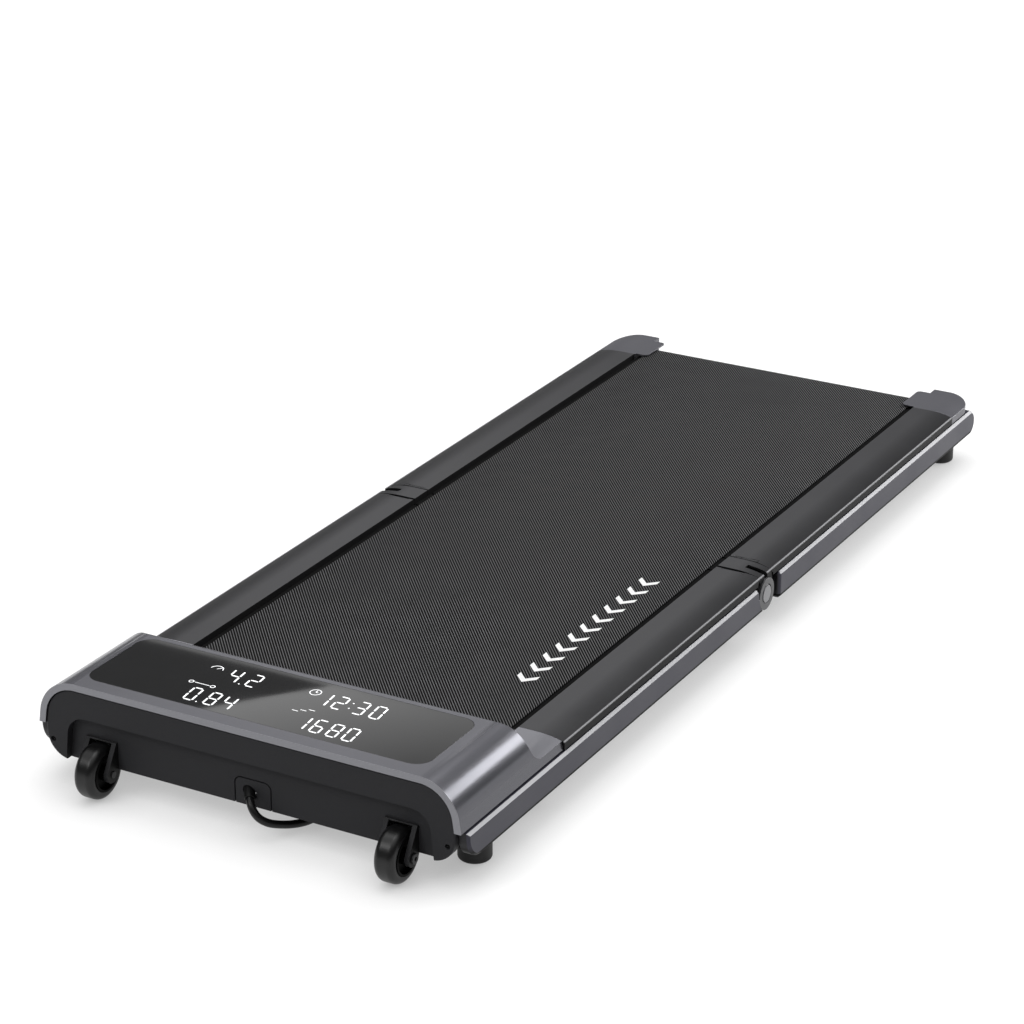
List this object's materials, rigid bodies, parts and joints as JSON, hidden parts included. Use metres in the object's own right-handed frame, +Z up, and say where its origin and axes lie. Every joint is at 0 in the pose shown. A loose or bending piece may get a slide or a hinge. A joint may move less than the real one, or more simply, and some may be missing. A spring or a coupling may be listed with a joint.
{
  "type": "folding walking treadmill",
  "caption": "Low folding treadmill with a flat walking belt, a raised front console, side rails, transport wheels and a mid-length double hinge.",
  "frame": {"origin": "on the floor, at the middle of the body's footprint (cord left out)", "axes": "+X across, to the right when facing the console end from the front; +Y along the belt from the console to the rear end; +Z up"},
  "size_m": [0.55, 1.443, 0.13],
  "materials": {
    "shell_grey": "metallic grey satin",
    "rail_grey": "dark grey satin",
    "side_alloy": "anodised grey with a bright bevel",
    "panel_black": "matte black",
    "glass_black": "glossy black",
    "belt_rubber": "ribbed matte",
    "deck_board": "black laminate",
    "frame_paint": "black powder coat",
    "steel": "brushed",
    "dark_steel": "black oxide",
    "motor_paint": "satin black",
    "heat_sink": "plain",
    "board_green": "circuit board",
    "wheel_black": "satin black",
    "tyre_black": "matte black",
    "foot_rubber": "matte black",
    "cord_black": "matte black",
    "tie_black": "woven black",
    "cap_black": "satin dark grey"
  },
  "bodies": {
    "front": {"front_side_tubes": "frame_paint", "front_cross_tubes": "frame_paint", "front_deck": "deck_board", "belt_front": "belt_rubber", "belly_pan": "frame_paint", "console_shell": "shell_grey", "front_panel": "panel_black", "panel_screws": "dark_steel", "display_glass": "glass_black", "display_board": "board_green", "motor_housing": "motor_paint", "motor_controller": "heat_sink", "drive_axle": "steel", "drive_bearings": "steel", "drive_belt": "belt_rubber", "front_rail_cover_left": "rail_grey", "front_rail_cover_right": "rail_grey", "front_side_panel_left": "side_alloy", "front_side_panel_right": "side_alloy", "wheel_forks": "wheel_black", "wheel_axles": "dark_steel", "front_feet": "foot_rubber", "front_hinge_brackets": "dark_steel", "cord_strain_relief": "cord_black", "power_cord": "cord_black", "power_cord_coil": "cord_black", "cord_tie": "tie_black", "power_plug": "cord_black"},
    "drive_roller": {"drive_roller": "steel", "drive_pulley": "dark_steel"},
    "motor_rotor": {"motor_shaft": "steel"},
    "wheel_left": {"wheel_hub_left": "wheel_black", "wheel_tyre_left": "tyre_black"},
    "wheel_right": {"wheel_hub_right": "wheel_black", "wheel_tyre_right": "tyre_black"},
    "hinge_link": {"hinge_links": "dark_steel", "hinge_pins": "steel", "fold_cross_bar": "frame_paint", "fold_deck": "deck_board", "belt_fold": "belt_rubber", "hinge_cover_left": "rail_grey", "hinge_cover_right": "rail_grey", "hinge_caps": "cap_black"},
    "rear": {"rear_side_tubes": "frame_paint", "rear_cross_tubes": "frame_paint", "rear_deck": "deck_board", "belt_rear": "belt_rubber", "rear_rail_cover_left": "rail_grey", "rear_rail_cover_right": "rail_grey", "rear_side_panel_left": "side_alloy", "rear_side_panel_right": "side_alloy", "rear_end_cap_left": "shell_grey", "rear_end_cap_right": "shell_grey", "rear_feet": "foot_rubber", "idler_axle": "steel", "idler_bearings": "steel", "tension_bolts": "steel", "rear_hinge_brackets": "dark_steel"},
    "idler_roller": {"idler_roller": "steel"}
  },
  "joints": [
    {"name": "fold_front", "type": "hinge", "parent": "front", "child": "hinge_link", "pos_m": [0, 0.0265, 0.083], "axis": [1, 0, 0], "range_deg": [0, 89]},
    {"name": "fold_rear", "type": "hinge", "parent": "hinge_link", "child": "rear", "pos_m": [0, 0.0685, 0.083], "axis": [1, 0, 0], "range_deg": [0, 89]},
    {"name": "drive_roller_spin", "type": "hinge", "parent": "front", "child": "drive_roller", "pos_m": [0, -0.4985, 0.0625], "axis": [1, 0, 0], "continuous": true},
    {"name": "idler_roller_spin", "type": "hinge", "parent": "rear", "child": "idler_roller", "pos_m": [0, 0.6775, 0.0625], "axis": [1, 0, 0], "continuous": true},
    {"name": "motor_spin", "type": "hinge", "parent": "front", "child": "motor_rotor", "pos_m": [0, -0.6035, 0.081], "axis": [1, 0, 0], "continuous": true},
    {"name": "wheel_left_spin", "type": "hinge", "parent": "front", "child": "wheel_left", "pos_m": [-0.19262, -0.689, 0.0315], "axis": [1, 0, 0], "continuous": true},
    {"name": "wheel_right_spin", "type": "hinge", "parent": "front", "child": "wheel_right", "pos_m": [0.19262, -0.689, 0.0315], "axis": [1, 0, 0], "continuous": true}
  ],
  "couplings": [
    {"joint": "fold_rear", "follows": "fold_front", "ratio": 1},
    {"joint": "idler_roller_spin", "follows": "drive_roller_spin", "ratio": 1},
    {"joint": "motor_spin", "follows": "drive_roller_spin", "ratio": 1.708}
  ]
}
